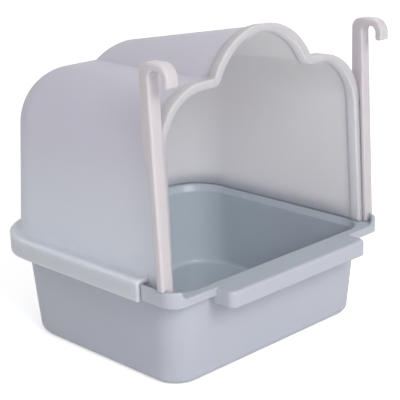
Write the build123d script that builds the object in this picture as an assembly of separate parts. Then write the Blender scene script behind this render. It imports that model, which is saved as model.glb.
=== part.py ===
from build123d import *
import math
import os

# Cage bird bath: a shallow rectangular tray, a cloud-arched hood that lifts off it, and two arms
# whose hooks hang the bath on the bars of a cage door.  Millimetres.  +Z is up, the open front of
# the hood looks along -Y, +X is to the right of someone facing that opening, and the origin is
# under the middle of the whole bath.

# ---- tray ---------------------------------------------------------------------------------
TRAY_WIDTH = 132.8          # outside of the walls at the rim, along X
TRAY_DEPTH = 122.5          # the same along Y
TRAY_HEIGHT = 47.4          # underside of the floor to the flat of the rim
TRAY_WALL = 1.8
TRAY_FLOOR = 2.0
SIDE_DRAFT = 1.6            # how far each side wall leans in by the floor
END_DRAFT = 4.8             # the same for the front and back walls
FRONT_CORNER = 14.0         # plan radius outside the walls at the front
BACK_CORNER = 22.5          # the same at the back
FLOOR_EDGE = 4.5            # radius round the outside of the floor
MOUTH_FLARE = 1.4           # how far the mouth of the basin opens out past its walls
MOUTH_DEPTH = 3.5           # how far the flare runs down them

# ---- rim of the tray ------------------------------------------------------------------------
SIDE_RIM = 6.4              # how far the rim stands out of the side walls
FRONT_RIM = 4.3             # the same at the front
BACK_RIM = 6.7              # the same at the back
RIM_THICKNESS = 2.0
RIM_FRONT_CORNER = 8.0      # plan radius of the rim at the front
RIM_BACK_CORNER = 29.5      # the same at the back
LIP_THICKNESS = 1.9         # upright edge round the rim
LIP_DROP = 3.9              # how far it hangs below the flat
LIP_RISE = 3.5              # how far it stands above the flat at the sides and the back
LIP_RETURN = 6.0            # how far the raised lip runs in from the front corners
LIP_EDGE = 0.6

# ---- ledge on the front of the rim -------------------------------------------------------------
LEDGE_LENGTH = 94.0
LEDGE_REACH = 10.5          # out of the rim
LEDGE_HANG = 7.7            # below the flat
LEDGE_CORNER = 3.6          # plan radius of its two ends
LEDGE_NOSE = 1.6            # radius over its top edge
LEDGE_WALL = 1.9

# ---- hood --------------------------------------------------------------------------------------
HOOD_SIDE_INSET = 5.1       # from the rim's side edges to the outside of the hood's walls, at the foot
HOOD_WALL = 1.8
HOOD_DRAFT = 1.1            # degrees that the side walls lean in
FRONT_INSET = 8.0           # from the rim's front edge to the hood's front, at the foot
FRONT_LEAN = 2.3            # degrees that the front leans back
BACK_INSET = 2.2            # from the rim's back edge to the hood's back wall, at the foot
BACK_LEAN = 5.2             # degrees that the back wall leans forward
FOOT_GAP = 0.3              # between the foot of the walls and the flat of the rim
SHOULDER_TOP = 88.6         # top of the shoulders above the foot
SHOULDER_RADIUS = 27.5
SHOULDER_FLAT = 8.5         # level part of the shoulders, up to the middle bump
SHOULDER_FALL = 0.03        # fall of the shoulders for each unit of depth
BUMP_RISE = 20.2            # top of the middle bump above the shoulders, at the front
RIDGE_FALL = 0.172          # fall of the bump's ridge for each unit of depth
VALLEY_RADIUS = 2.5         # where the bump meets the shoulders
BACK_ROUND = 23.0           # radius from the sides and shoulders into the back wall
BUMP_ROUND = 12.0           # radius from the bump into the back wall
BUMP_BACK = 10.5            # how far the bump ends in front of the back wall

FRAME_DEPTH = 6.0           # thicker band round the open front
FRAME_PROUD = 0.8           # outside the walls
FRAME_INSIDE = 0.9          # inside the walls

# ---- skirt of the hood, which drops over the rim -------------------------------------------------
SKIRT_WALL = 1.8
SKIRT_GAP = 0.4             # between the skirt and the rim's lip
SKIRT_LAP = 7.5             # how far it reaches down past the top of the lip
SKIRT_ROOF = 2.2            # thickness of the web that joins it to the walls
SKIRT_START = 20.8          # its front ends stop this far behind the rim's front edge
SKIRT_ROOT = 3.2            # radius between the web and the walls
SKIRT_EDGE = 0.8            # bevel over its outer top edge
SEAT_GAP = 0.1              # between the web and the lip that it rests on

# ---- hook arms --------------------------------------------------------------------------------------
ARM_WIDTH = 6.0             # along X
ARM_SET_IN = 0.4            # how far its inner face would reach into the hood's wall at the foot
ARM_PROUD = 2.2             # in front of the hood's front
ARM_SHANK = 3.9             # depth of the lower shank
ARM_BELLY = 6.8             # depth at the widest, above the shank
ARM_NECK = 5.6              # depth at the top
SWELL_START = 52.0          # where the shank starts to widen, above the hood's foot
SWELL_END = 70.0            # where it reaches its full depth
ARM_TOP = 103.2             # top of the hook above the hood's foot
HOOK_REACH = 11.9           # out of the arm's front face
HOOK_DROP = 10.0            # from the top to the end of the tip
HOOK_THICKNESS = 3.4
HOOK_ROUND = 6.5            # outer radius of the bend
ARM_HEEL = 5.0              # radius at the top behind the hook
ARM_EDGE = 0.6
ARM_CLEARANCE = 0.15        # between an arm and the hood
FOOT_CLEARANCE = 0.2        # between an arm's foot and the rim

# ---- worked out from the sizes above --------------------------------------------------------------------
RIM_X = TRAY_WIDTH / 2 + SIDE_RIM
RIM_FRONT = -TRAY_DEPTH / 2 - FRONT_RIM
RIM_BACK = TRAY_DEPTH / 2 + BACK_RIM
LIP_TOP = TRAY_HEIGHT + LIP_RISE
HOOD_X = RIM_X - HOOD_SIDE_INSET
HOOD_FOOT = TRAY_HEIGHT + FOOT_GAP
HOOD_FRONT = RIM_FRONT + FRONT_INSET
HOOD_BACK = RIM_BACK - BACK_INSET
BUMP_CHORD = HOOD_X - SHOULDER_RADIUS - SHOULDER_FLAT    # half of its width at the shoulders
BUMP_RADIUS = (BUMP_CHORD ** 2 + BUMP_RISE ** 2) / (2 * BUMP_RISE)
ROOF_Z = LIP_TOP + SEAT_GAP
SKIRT_OUT = SKIRT_GAP + SKIRT_WALL
LEAN = math.tan(math.radians(FRONT_LEAN))
CENTRE = -(RIM_FRONT - LEDGE_REACH + RIM_BACK + SKIRT_OUT) / 2
RUN = HOOD_BACK - HOOD_FRONT
FAR = 4 * RUN
AHEAD = RUN / 6             # how far the uncut forms run out in front of the hood
BELOW = SHOULDER_TOP / 3    # how far they run down below its foot


def plan(half_x, front, back, front_radius, back_radius):
    """A flat rectangle with its own corner radii at the front and at the back."""
    sheet = Pos(0, (front + back) / 2) * Rectangle(2 * half_x, back - front)
    sheet = fillet(sheet.vertices().group_by(Axis.Y)[0], front_radius)
    return fillet(sheet.vertices().sort_by(Axis.Y)[-2:], back_radius)


def rim_block(grow, low, high):
    """An upright block on the rim's outline, moved out by `grow` all round."""
    sheet = plan(RIM_X + grow, RIM_FRONT - grow, RIM_BACK + grow,
                 RIM_FRONT_CORNER + grow, RIM_BACK_CORNER + grow)
    return Pos(0, 0, low) * extrude(sheet, high - low)


def behind(y, lean):
    """The half space behind a cross plane at `y` at the hood's foot, which leans back by `lean`."""
    plane = Plane(origin=(0, y, HOOD_FOOT), x_dir=(1, 0, 0),
                  z_dir=(0, math.cos(math.radians(lean)), -math.sin(math.radians(lean))))
    return plane * Pos(0, 0, FAR / 2) * Box(2 * FAR, 2 * FAR, FAR)


def between(low, high):
    return Pos(0, 0, (low + high) / 2) * Box(2 * FAR, 2 * FAR, high - low)


# ---- tray ---------------------------------------------------------------------------------------


def tub(inset, floor, edge):
    """The basin's walls as a solid, `inset` inside the outer faces and down to `floor`."""

    def taper(half, draft):
        low = half - draft * (1 - floor / TRAY_HEIGHT)
        return make_face(Polyline((-low, floor), (low, floor), (half, TRAY_HEIGHT),
                                  (-half, TRAY_HEIGHT), close=True))

    front_view = Plane.XZ * taper(TRAY_WIDTH / 2 - inset, SIDE_DRAFT)
    side_view = Plane.YZ * taper(TRAY_DEPTH / 2 - inset, END_DRAFT)
    shape = extrude(front_view, TRAY_DEPTH, both=True) & extrude(side_view, TRAY_WIDTH, both=True)
    uprights = [e for e in shape.edges() if abs(e.tangent_at(0.5).Z) > 0.5]
    front = [e for e in uprights if e.center().Y < 0]
    shape = fillet(front, FRONT_CORNER - inset)
    back = [e for e in shape.edges() if abs(e.tangent_at(0.5).Z) > 0.5 and e.center().Y > TRAY_DEPTH / 4]
    shape = fillet(back, BACK_CORNER - inset)
    return fillet(shape.faces().sort_by(Axis.Z)[0].edges(), edge)


def lip():
    """The upright edge of the rim.  It steps down along the front, between the corners."""
    ring = rim_block(0, TRAY_HEIGHT - LIP_DROP, LIP_TOP) - rim_block(-LIP_THICKNESS, 0, FAR)
    step = Pos(0, RIM_FRONT, LIP_TOP) * Box(2 * (RIM_X - LIP_RETURN), 2 * RIM_FRONT_CORNER, 2 * LIP_RISE)
    step = fillet(step.edges().filter_by(Axis.Y).group_by(Axis.Z)[0], LIP_RISE * 0.8)
    ring -= step
    return chamfer(ring.edges().group_by(Axis.Z)[-1], LIP_EDGE)


def ledge():
    """The hooked ledge: a flat top that turns down in front and at both ends, open below."""
    half, front, root = LEDGE_LENGTH / 2, RIM_FRONT - LEDGE_REACH, RIM_FRONT + LIP_THICKNESS
    low = TRAY_HEIGHT - LEDGE_HANG

    def slab(inset):
        sheet = Pos(0, (front + inset + root) / 2) * Rectangle(2 * (half - inset), root - front - inset)
        return fillet(sheet.vertices().group_by(Axis.Y)[0], LEDGE_CORNER - inset)

    outer = Pos(0, 0, low) * extrude(slab(0), LEDGE_HANG)
    top = [e for e in outer.edges().group_by(Axis.Z)[-1] if e.center().Y < root - 0.1]
    outer = fillet(top, LEDGE_NOSE)
    hollow = Pos(0, 0, low) * extrude(slab(LEDGE_WALL), LEDGE_HANG - LEDGE_WALL)
    return outer - (hollow & Pos(0, RIM_FRONT - FAR / 2, 0) * Box(FAR, FAR, FAR))


def tray():
    rim = rim_block(-LIP_THICKNESS / 2, TRAY_HEIGHT - RIM_THICKNESS, TRAY_HEIGHT)
    body = tub(0, 0, FLOOR_EDGE) + rim + lip() + ledge()
    basin = tub(TRAY_WALL, TRAY_FLOOR, FLOOR_EDGE - TRAY_WALL)
    body -= basin
    flat = max((f for f in body.faces() if abs(f.center().Z - TRAY_HEIGHT) < 0.01),
               key=lambda f: f.area)
    mouth = [e for e in flat.edges() if basin.distance_to(Vertex(*e.center())) < 0.01]
    return chamfer(mouth, MOUTH_FLARE, MOUTH_DEPTH, reference=flat)


# ---- hood ----------------------------------------------------------------------------------------


def cabin(grow):
    """Sides, shoulders and back of the hood as a solid, its faces moved out by `grow`."""
    draft = math.tan(math.radians(HOOD_DRAFT))
    low, high = HOOD_FOOT - BELOW, HOOD_FOOT + SHOULDER_TOP + grow

    def side(z):
        return HOOD_X + grow - draft * (z - HOOD_FOOT)

    outline = make_face(Polyline((-side(low), low), (-side(high), high), (side(high), high),
                                 (side(low), low), close=True))
    outline = fillet(outline.vertices().group_by(Axis.Y)[-1], SHOULDER_RADIUS + grow)
    start = Pos(0, HOOD_FRONT - AHEAD, AHEAD * SHOULDER_FALL) * (Plane.XZ * outline)
    body = extrude(start, FAR, dir=(0, 1, -SHOULDER_FALL))
    body -= behind(HOOD_BACK + grow, -BACK_LEAN)
    back = body.faces().sort_by(Axis.Y)[-1]
    return fillet([e for e in back.edges() if e.center().Z > low + 0.01], BACK_ROUND + grow)


def bump(grow):
    """The round middle arch, whose ridge falls towards the back."""
    top = HOOD_FOOT + SHOULDER_TOP + BUMP_RISE
    plane = Plane(origin=(0, HOOD_FRONT, top - BUMP_RADIUS), x_dir=(1, 0, 0),
                  z_dir=(0, 1, -RIDGE_FALL))
    arch = plane * Rot(0, 0, 90) * Pos(0, 0, FAR / 2 - 1.5 * AHEAD) * Cylinder(BUMP_RADIUS + grow, FAR)
    arch -= behind(HOOD_BACK - BUMP_BACK + grow, -BACK_LEAN)
    return fillet(arch.faces().sort_by(Axis.Y)[-1].edges(), BUMP_ROUND + grow)


def form(grow):
    """The whole cloud shape as a solid, with the valleys beside the middle arch rounded."""
    sides, arch = cabin(grow), bump(grow)
    whole = sides + arch
    valleys = [e for e in new_edges(sides, arch, combined=whole) if e.center().Y > HOOD_FRONT - 0.9 * AHEAD]
    return fillet(valleys, VALLEY_RADIUS - grow)


def front_band(low, high):
    """The slice of space from `low` to `high` behind the hood's front, which leans with it."""
    return behind(HOOD_FRONT + low, FRONT_LEAN) - behind(HOOD_FRONT + high, FRONT_LEAN)


def skirt(inside):
    """The web round three sides of the hood and the skirt that hangs from it, over the rim."""
    top = ROOF_Z + SKIRT_ROOF
    outer = rim_block(SKIRT_OUT, LIP_TOP - SKIRT_LAP, top)
    outer = chamfer(outer.edges().group_by(Axis.Z)[-1], SKIRT_EDGE)
    outer -= rim_block(SKIRT_GAP, 0, ROOF_Z)
    outer -= Pos(0, RIM_FRONT + SKIRT_START - FAR / 2, 0) * Box(FAR, FAR, FAR)
    return outer - inside


def hood():
    outside, inside = form(0), form(-HOOD_WALL)
    shell = outside - inside
    frame = (form(FRAME_PROUD) - form(-HOOD_WALL - FRAME_INSIDE)) & front_band(0, FRAME_DEPTH)
    shell = (shell & behind(HOOD_FRONT, FRONT_LEAN)) + frame
    shell &= between(HOOD_FOOT, FAR)
    body = shell + skirt(inside)
    root = [e for e in body.edges() if abs(e.center().Z - ROOF_Z - SKIRT_ROOF) < 0.01
            and outside.distance_to(Vertex(*e.center())) < 0.01]
    return fillet(root, SKIRT_ROOT)


# ---- hook arms -------------------------------------------------------------------------------------


def arm_outline():
    """Side view of an arm: shank, swelling, and the hook that turns forwards and down."""
    foot, top = TRAY_HEIGHT + FOOT_CLEARANCE, HOOD_FOOT + ARM_TOP
    start, end = HOOD_FOOT + SWELL_START, HOOD_FOOT + SWELL_END

    def front(z):
        return HOOD_FRONT - ARM_PROUD + LEAN * (z - HOOD_FOOT)

    throat, tip = top - HOOK_THICKNESS, top - HOOK_DROP
    face = front(throat)
    nose = face - HOOK_REACH
    crook = (face, throat)
    heel = (front(top) + ARM_NECK, top)
    edge = Polyline(
        (front(start) + ARM_SHANK, start), (front(foot) + ARM_SHANK, foot), (front(foot), foot),
        crook, (nose + HOOK_THICKNESS, throat), (nose + HOOK_THICKNESS, tip), (nose, tip),
        (nose, top), heel, (front(end) + ARM_BELLY, end))
    swell = Spline((front(end) + ARM_BELLY, end), (front(start) + ARM_SHANK, start),
                   tangents=[(-LEAN, -1), (-LEAN, -1)])
    side = make_face(edge + swell)

    def rounded(shape, point, radius):
        return fillet(shape.vertices().sort_by_distance(point)[0], radius)

    side = rounded(side, (nose, top), HOOK_ROUND)
    side = rounded(side, (nose + HOOK_THICKNESS, throat), HOOK_ROUND - HOOK_THICKNESS)
    side = rounded(side, crook, HOOK_ROUND - HOOK_THICKNESS)
    side = rounded(side, heel, ARM_HEEL)
    side = rounded(side, (nose, tip), HOOK_THICKNESS * 0.35)
    return rounded(side, (nose + HOOK_THICKNESS, tip), HOOK_THICKNESS * 0.35)


def right_arm():
    """The arm at +X.  It wraps the hood's front band and its foot straddles the rim's lip."""
    inner = HOOD_X - ARM_SET_IN
    arm = Pos(inner, 0, 0) * extrude(Plane.YZ * arm_outline(), ARM_WIDTH)
    arm = chamfer(arm.faces().sort_by(Axis.X)[-1].edges(), ARM_EDGE)
    gap = ARM_CLEARANCE
    arm -= cabin(gap) & behind(HOOD_FRONT - gap, FRONT_LEAN)
    arm -= cabin(FRAME_PROUD + gap) & front_band(-gap, FRAME_DEPTH + gap)
    seat = LIP_TOP + FOOT_CLEARANCE
    arm -= between(0, seat) - rim_block(-LIP_THICKNESS - gap, 0, FAR)
    return arm


def main():
    os.makedirs("parts", exist_ok=True)
    right = right_arm()
    nodes = {"tray": tray(), "hood": hood(), "right_hook_arm": right,
             "left_hook_arm": mirror(right, about=Plane.YZ)}
    for name, shape in nodes.items():
        export_step(Pos(0, CENTRE, 0) * shape, f"parts/{name}.step")
        box = shape.bounding_box()
        print(name, len(shape.solids()), shape.is_valid, round(shape.volume),
              [round(v, 1) for v in (*box.min, *box.max)])


if __name__ == "__main__":
    main()
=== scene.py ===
# %% [markdown]
# # A bath for a cage bird
# This lesson dresses a bird bath that hangs on the door of a cage: a shallow tray, a frosted hood
# with a cloud-shaped opening, and two arms that end in hooks.  The solids were drawn in a CAD
# program, so their shapes and places are settled.  Here they get finishes, light and a camera.
# The first step loads them.  Each solid arrives as an object at the origin whose place is in its
# mesh, in metres, and the box round all of them is kept.
# The Standard view shows a colour as it is written, which suits a plain studio view.

# %% Load the solids
import math

import bpy
from mathutils import Matrix, Vector


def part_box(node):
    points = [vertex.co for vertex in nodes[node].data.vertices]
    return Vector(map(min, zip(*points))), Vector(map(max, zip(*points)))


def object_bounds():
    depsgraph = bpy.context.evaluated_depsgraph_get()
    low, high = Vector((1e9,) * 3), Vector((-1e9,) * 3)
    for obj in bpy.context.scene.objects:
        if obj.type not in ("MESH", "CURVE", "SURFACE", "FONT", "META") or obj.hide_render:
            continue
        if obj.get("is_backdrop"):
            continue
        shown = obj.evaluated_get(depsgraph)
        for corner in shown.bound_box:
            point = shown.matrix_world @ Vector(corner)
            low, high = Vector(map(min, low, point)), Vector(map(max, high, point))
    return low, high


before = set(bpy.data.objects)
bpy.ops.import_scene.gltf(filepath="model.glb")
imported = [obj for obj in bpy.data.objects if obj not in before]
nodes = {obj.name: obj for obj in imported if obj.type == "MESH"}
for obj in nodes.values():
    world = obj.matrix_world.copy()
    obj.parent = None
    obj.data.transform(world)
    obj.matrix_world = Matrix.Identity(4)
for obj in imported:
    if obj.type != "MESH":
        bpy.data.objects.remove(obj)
box_low, box_high = (Vector(corner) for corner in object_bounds())
size = box_high - box_low
scene = bpy.context.scene
scene.view_settings.view_transform = "Standard"
print("solids:", sorted(nodes))
print("box in mm:", [round(1000 * s, 1) for s in size])

# %% [markdown]
# ## The camera comes first
# A long lens keeps upright edges nearly parallel, which suits a plain studio view.  The camera
# stands to the left of the opening and a little above the bath.  It could be turned by hand, but
# here its direction is worked out from two angles, so a reader can change one number and see what
# it does.

# %% Place the camera
AZIMUTH, ELEVATION, ROLL = math.radians(-44.05), math.radians(17.38), math.radians(-1.83)
DISTANCE = 0.59964
LOOK_AT = Vector((0.00716, 0.00170, 0.06189))
LENS, SENSOR = 106.8, 36.0          # in millimetres
NEAREST, FARTHEST = 0.01, 20.0      # what the camera sees, in metres

back = Vector((math.sin(AZIMUTH) * math.cos(ELEVATION),
               -math.cos(AZIMUTH) * math.cos(ELEVATION), math.sin(ELEVATION)))
camera = bpy.data.objects.new("camera", bpy.data.cameras.new("camera"))
scene.collection.objects.link(camera)
camera.data.lens, camera.data.sensor_width = LENS, SENSOR
camera.data.clip_start, camera.data.clip_end = NEAREST, FARTHEST
camera.location = LOOK_AT + back * DISTANCE
camera.rotation_mode = "QUATERNION"
turn = (-back).to_track_quat("-Z", "Y").to_matrix() @ Matrix.Rotation(ROLL, 3, "Z")
camera.rotation_quaternion = turn.to_quaternion()
scene.camera = camera
print("camera at", [round(v, 3) for v in camera.location])

# %% [markdown]
# ## Nodes in a few words
# A material is a small graph.  Writing every node out takes many lines, so one helper adds a node
# and fills its inputs: a plain value is set on the input, and an output of another node is linked.
# Some nodes have several inputs of the same name, so `at` can give an input's number instead.

# %% Helpers that add shader nodes


def add(tree, kind, at=None, **inputs):
    node = tree.nodes.new("ShaderNode" + kind)
    for name, value in inputs.items():
        socket = node.inputs[name.replace("_", " ")] if at is None else node.inputs[at[name]]
        if isinstance(value, bpy.types.NodeSocket):
            tree.links.new(value, socket)
        else:
            socket.default_value = value
    return node


def calculate(tree, operation, a, b, c=0.0):
    """One step of arithmetic on two or three values."""
    node = add(tree, "Math", at={"A": 0, "B": 1, "C": 2}, A=a, B=b, C=c)
    node.operation = operation
    return node.outputs[0]


def blend(tree, factor, a, b):
    """Colour `a` where the factor is 0, `b` where it is 1."""
    node = add(tree, "Mix", at={"Factor": 0, "A": 6, "B": 7}, Factor=factor, A=a, B=b)
    node.data_type = "RGBA"
    return node.outputs[2]


def start_material(name):
    material = bpy.data.materials.new(name)
    material.use_nodes = True
    tree = material.node_tree
    return material, tree, tree.nodes["Principled BSDF"]


print("helpers ready")

# %% [markdown]
# ## Moulded plastic
# Injection-moulded plastic is never one flat colour.  The pigment drifts a little over centimetres,
# the steel of the mould leaves a fine grain, and the gloss varies where the melt cooled at another
# pace.  Each of these is a noise texture in object coordinates, at its own scale.  Sharp CAD edges
# would look like cut metal, so a Bevel node rounds them for the light only, by about a millimetre.

# %% A recipe for moulded plastic
PACE = 2.6                  # how much finer the gloss varies than the colour
CLOUD_DETAIL, CLOUD_ROUGHNESS = 3.0, 0.55
PACE_DETAIL, GRAIN_DETAIL = 4.0, 2.0
GRAIN_STRENGTH = 0.6
BEVEL_SAMPLES = 6


def moulded(name, pale, deep, drift, gloss, spread, grain, depth, edge):
    """Plastic whose colour drifts between two tones; sizes in metres."""
    material, tree, shader = start_material(name)
    place = add(tree, "TexCoord").outputs["Object"]
    cloud = add(tree, "TexNoise", Vector=place, Scale=1 / drift,
                Detail=CLOUD_DETAIL, Roughness=CLOUD_ROUGHNESS)
    tone = blend(tree, cloud.outputs["Fac"], (*deep, 1), (*pale, 1))
    tree.links.new(tone, shader.inputs["Base Color"])
    pace = add(tree, "TexNoise", Vector=place, Scale=PACE / drift, Detail=PACE_DETAIL)
    shine = add(tree, "MapRange", Value=pace.outputs["Fac"], To_Min=gloss - spread,
                To_Max=gloss + spread)
    tree.links.new(shine.outputs["Result"], shader.inputs["Roughness"])
    soft = add(tree, "Bevel", Radius=edge)
    soft.samples = BEVEL_SAMPLES
    skin = add(tree, "TexNoise", Vector=place, Scale=1 / grain, Detail=GRAIN_DETAIL)
    bump = add(tree, "Bump", Strength=GRAIN_STRENGTH, Distance=depth, Height=skin.outputs["Fac"],
               Normal=soft.outputs["Normal"])
    tree.links.new(bump.outputs["Normal"], shader.inputs["Normal"])
    return material, tree, shader


print("recipe ready")

# %% [markdown]
# ## Three plastics
# The tray is a blue-grey satin plastic, the arms are off-white with a rosy cast, and the hood is
# frosted, so it is the roughest of the three.  One recipe makes all of them from their own numbers,
# which keeps them alike in kind and easy to compare.

# %% Make the three plastics
tray_plastic, tray_tree, tray_shader = moulded(
    "blue_grey_tray_plastic", pale=(0.50, 0.52, 0.585), deep=(0.46, 0.48, 0.545), drift=0.05,
    gloss=0.31, spread=0.05, grain=0.0009, depth=0.00004, edge=0.0009)
arm_plastic, _, arm_shader = moulded(
    "rosy_white_arm_plastic", pale=(0.622, 0.583, 0.612), deep=(0.578, 0.54, 0.568), drift=0.03,
    gloss=0.33, spread=0.05, grain=0.0012, depth=0.00003, edge=0.0009)
hood_plastic, hood_tree, hood_shader = moulded(
    "frosted_hood_plastic", pale=(0.565, 0.545, 0.642), deep=(0.525, 0.505, 0.597), drift=0.06,
    gloss=0.5, spread=0.06, grain=0.0007, depth=0.00005, edge=0.0016)
for plastic in (tray_plastic, arm_plastic, hood_plastic):
    print(plastic.name, "has", len(plastic.node_tree.nodes), "nodes")

# %% [markdown]
# ## Light inside the wall
# The hood's wall is thin and milky: light goes in on one side and comes out on the other, and no
# shape shows through.  Real transparency would need many light paths and would show the far side
# too clearly.  Subsurface scattering gives the milky glow at once.  Its scale is how far light
# travels inside: a few times the thickness of the hood's wall, so that some of it gets through, and
# less in the tray and the arms, which are denser.

# %% Let light into the plastics
glow_of = {tray_shader: (0.2, 0.003, (1.0, 1.0, 1.0)),      # weight, scale in metres, colour
           arm_shader: (0.9, 0.006, (1.0, 1.0, 1.0)),
           hood_shader: (1.0, 0.009, (1.0, 0.95, 0.86))}
for shader, (weight, scale, radius) in glow_of.items():
    shader.inputs["Subsurface Weight"].default_value = weight
    shader.inputs["Subsurface Scale"].default_value = scale
    shader.inputs["Subsurface Radius"].default_value = radius
print("light travels, in mm:", [round(1000 * scale, 1) for _, scale, _ in glow_of.values()])

# %% [markdown]
# ## Masks from place and facing
# Some regions of the bath get painted light and shade in their base colour, not a colour of their
# own:
# a painted glow where light comes through the hood's wall, painted shade on the band round the
# opening, and a painted cool tone for blue light bouncing inside the basin.  To tint one region, a
# mask
# is worked out from the surface itself: a ramp along a length, or whether a face looks away from
# the middle of the bath.  The facing is the dot product of the face's direction and the line from
# the middle to the face.  A painted map would need UVs, and this needs none.

# %% Helpers for regions
MIDDLE = (0.0, 0.0, 0.05)
TURN = 0.004        # over this length a face passes from looking inwards to outwards


def ramp(tree, value, start, end):
    """0 at `start`, 1 at `end`, in metres."""
    return add(tree, "MapRange", Value=value, From_Min=start, From_Max=end).outputs[0]


def measure(tree):
    """Gives where a point is, and how far its face looks away from the middle."""
    place = add(tree, "TexCoord")
    arm = add(tree, "VectorMath", at={"A": 0, "B": 1}, A=place.outputs["Object"], B=MIDDLE)
    arm.operation = "SUBTRACT"
    facing = add(tree, "VectorMath", at={"A": 0, "B": 1}, A=arm.outputs[0],
                 B=place.outputs["Normal"])
    facing.operation = "DOT_PRODUCT"
    return add(tree, "SeparateXYZ", Vector=place.outputs["Object"]), facing.outputs["Value"]


def tint(tree, shader, mask, colour):
    """Mixes the base colour towards another one where the mask is 1."""
    base = shader.inputs["Base Color"].links[0].from_socket
    tree.links.new(blend(tree, mask, base, (*colour, 1)), shader.inputs["Base Color"])


print("middle of the bath:", MIDDLE)

# %% [markdown]
# ## Painted light and shade on the hood
# The inside of the hood is painted paler than the outside, a painted glow that stands in for light
# coming through the wall, and paler again under the roof, where light comes down through it.
# Towards its foot the outside is painted bluer, a painted glow of the tray's colour through the
# wall, and the skirt that grips the rim is painted a shade lighter, as painted light.  The band
# round the opening is thicker, and its outer faces get painted shade, a deeper grey.  The opening
# leans back by 0.04 mm a millimetre, and the band's mask leans with it.  Each line of numbers is a
# colour and the two places, in metres, between which it comes in.

# %% Tint the hood
# Painted light: the hood's inner faces are made paler, for light coming through the wall.
INSIDE_PAINTED_GLOW = (0.73, 0.71, 0.765)
# Painted light: the inner faces under the roof are made paler still.
ROOF_PAINTED_GLOW, ROOF_START, ROOF_FULL = (0.84, 0.82, 0.855), 0.100, 0.132
# Painted light: the outer faces turn bluer towards the foot, for the tray's colour glowing through.
FOOT_PAINTED_TRAY_GLOW, FOOT_START, FOOT_FULL = (0.69, 0.735, 0.83), 0.118, 0.05
# Painted light: the skirt's outer faces are made a shade lighter.
SKIRT_PAINTED_LIGHT, SKIRT_START, SKIRT_FULL = (0.71, 0.745, 0.845), 0.0565, 0.0545
# Painted shade: the band's outer faces are made a deeper grey.
BAND_PAINTED_SHADE, BAND_START, BAND_FULL = (0.52, 0.505, 0.535), 0.0055, 0.0035
LEAN = 0.04

spot, facing = measure(hood_tree)
outside = ramp(hood_tree, facing, -TURN, TURN)
inside = ramp(hood_tree, facing, TURN, -TURN)
# Painted light on the hood's inner faces.
tint(hood_tree, hood_shader, inside, INSIDE_PAINTED_GLOW)
# Painted light under the roof, on the inner faces only.
high = ramp(hood_tree, spot.outputs["Z"], ROOF_START, ROOF_FULL)
tint(hood_tree, hood_shader, calculate(hood_tree, "MULTIPLY", inside, high), ROOF_PAINTED_GLOW)
# Painted light on the outer faces: bluer towards the foot, lighter on the skirt.
for colour, start, end in ((FOOT_PAINTED_TRAY_GLOW, FOOT_START, FOOT_FULL), (SKIRT_PAINTED_LIGHT, SKIRT_START, SKIRT_FULL)):
    low = ramp(hood_tree, spot.outputs["Z"], start, end)
    tint(hood_tree, hood_shader, calculate(hood_tree, "MULTIPLY", outside, low), colour)
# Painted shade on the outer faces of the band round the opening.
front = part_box("hood")[0][1]
upright = calculate(hood_tree, "MULTIPLY_ADD", spot.outputs["Z"], -LEAN, spot.outputs["Y"])
band = ramp(hood_tree, upright, front + BAND_START, front + BAND_FULL)
tint(hood_tree, hood_shader, calculate(hood_tree, "MULTIPLY", outside, band), BAND_PAINTED_SHADE)
print("front of the hood at", round(1000 * front, 1), "mm")

# %% [markdown]
# ## Painted light in the tray's basin
# The basin's inner faces get a painted cooler tone than the outside: painted light, standing in for
# the blue light that bounces between its walls in their own shade.  The same facing mask finds it.

# %% Tint the basin
# Painted light: a cooler tone for blue light bouncing between the basin's walls.
BASIN_PAINTED_BOUNCE = (0.50, 0.56, 0.615)

spot, facing = measure(tray_tree)
# Painted light on the basin's inner faces.
tint(tray_tree, tray_shader, ramp(tray_tree, facing, TURN, -TURN), BASIN_PAINTED_BOUNCE)
print("materials:", [m.name for m in (tray_plastic, arm_plastic, hood_plastic)])

# %% [markdown]
# ## Dress the solids
# A solid keeps its mesh, and only its material slot changes.  Both arms come out of one mould, so
# they share one plastic.

# %% Give each solid its finish
finish_of = {"tray": tray_plastic, "hood": hood_plastic,
             "left_hook_arm": arm_plastic, "right_hook_arm": arm_plastic}
for name, material in finish_of.items():
    data = nodes[name].data
    data.materials.clear()
    data.materials.append(material)
    print(name, "->", material.name)

# %% [markdown]
# ## A pale floor
# The bath stands on a white floor that keeps its soft shadow.  More light on the floor would also
# wash out the bath, so the floor glows a little for the camera alone, and its shadow stays.

# %% The floor
FLOOR_REACH = 12 * max(size)
FLOOR_WHITE, FLOOR_ROUGHNESS, FLOOR_GLOW = 0.93, 0.9, 0.5

floor_mesh = bpy.data.meshes.new("floor")
corners = [(x * FLOOR_REACH, y * FLOOR_REACH, 0) for x, y in ((-1, -1), (1, -1), (1, 1), (-1, 1))]
floor_mesh.from_pydata(corners, [], [(0, 1, 2, 3)])
floor = bpy.data.objects.new("floor", floor_mesh)
scene.collection.objects.link(floor)
floor_paint, tree, shader = start_material("white_floor_paint")
shader.inputs["Base Color"].default_value = (FLOOR_WHITE, FLOOR_WHITE, FLOOR_WHITE, 1)
shader.inputs["Roughness"].default_value = FLOOR_ROUGHNESS
shader.inputs["Emission Color"].default_value = (1.0, 1.0, 1.0, 1)
to_camera = add(tree, "LightPath").outputs["Is Camera Ray"]
glow = calculate(tree, "MULTIPLY", to_camera, FLOOR_GLOW)
tree.links.new(glow, shader.inputs["Emission Strength"])
floor_mesh.materials.append(floor_paint)
floor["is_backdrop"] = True
print("floor", round(2 * FLOOR_REACH, 1), "m wide")

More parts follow.
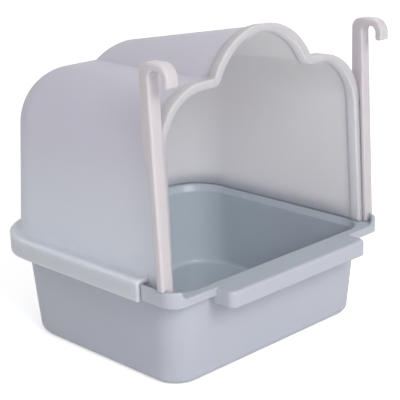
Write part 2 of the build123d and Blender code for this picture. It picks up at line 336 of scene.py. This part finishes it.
# %% [markdown]
# ## A white room
# The world gives even light from all round, at less than half strength, so that the lamps can shape
# the solids.  What the camera, mirrors and clear plastic see of it is plain white.

# %% The world
ROOM_LIGHT, ROOM_SEEN = 0.46, 1.0       # strength for lighting, and for being seen
WHITE = (1.0, 1.0, 1.0, 1)

world = bpy.data.worlds.new("white_room")
world.use_nodes = True
scene.world = world
tree = world.node_tree
tree.nodes.clear()
rays = add(tree, "LightPath").outputs
seen = calculate(tree, "MAXIMUM", rays["Is Camera Ray"], rays["Is Glossy Ray"])
seen = calculate(tree, "MAXIMUM", seen, rays["Is Transmission Ray"])
room = add(tree, "Background", Color=WHITE, Strength=ROOM_LIGHT)
wall = add(tree, "Background", Color=WHITE, Strength=ROOM_SEEN)
both = add(tree, "MixShader", at={"Fac": 0, "A": 1, "B": 2}, Fac=seen,
           A=room.outputs[0], B=wall.outputs[0])
add(tree, "OutputWorld", Surface=both.outputs[0])
print("room light", ROOM_LIGHT)

# %% [markdown]
# ## Soft lamps
# Three large area lamps give the solids their shape.  The key lamp stands in front, high and a
# little to the left.  The fill lamp stands low, further to the left, and softens the shade on the
# hood's side.  A weak lamp high on the right and behind shines through the frosted roof and wall,
# so that the inside doesn't go dark.  Large lamps were chosen over small ones for the soft edges of
# their shadows.

# %% Lamps


def lamp(name, direction, distance, width, power):
    """An area lamp that faces the middle of the bath; lengths in metres, power in watts."""
    light = bpy.data.lights.new(name, "AREA")
    light.size, light.energy = width, power
    stand = bpy.data.objects.new(name, light)
    scene.collection.objects.link(stand)
    way = Vector(direction).normalized()
    stand.location = Vector((0, 0, size.z / 2)) + way * distance
    stand.rotation_mode = "QUATERNION"
    stand.rotation_quaternion = way.to_track_quat("Z", "Y")
    print(name, "at", [round(v, 2) for v in stand.location])


lamp("key_lamp", (-0.25, -1.0, 0.6), distance=1.2, width=0.5, power=7.2)
lamp("fill_lamp", (-1.0, -0.9, 0.3), distance=1.3, width=0.7, power=2.2)
lamp("back_lamp", (0.9, 0.5, 0.75), distance=1.3, width=0.8, power=1.4)
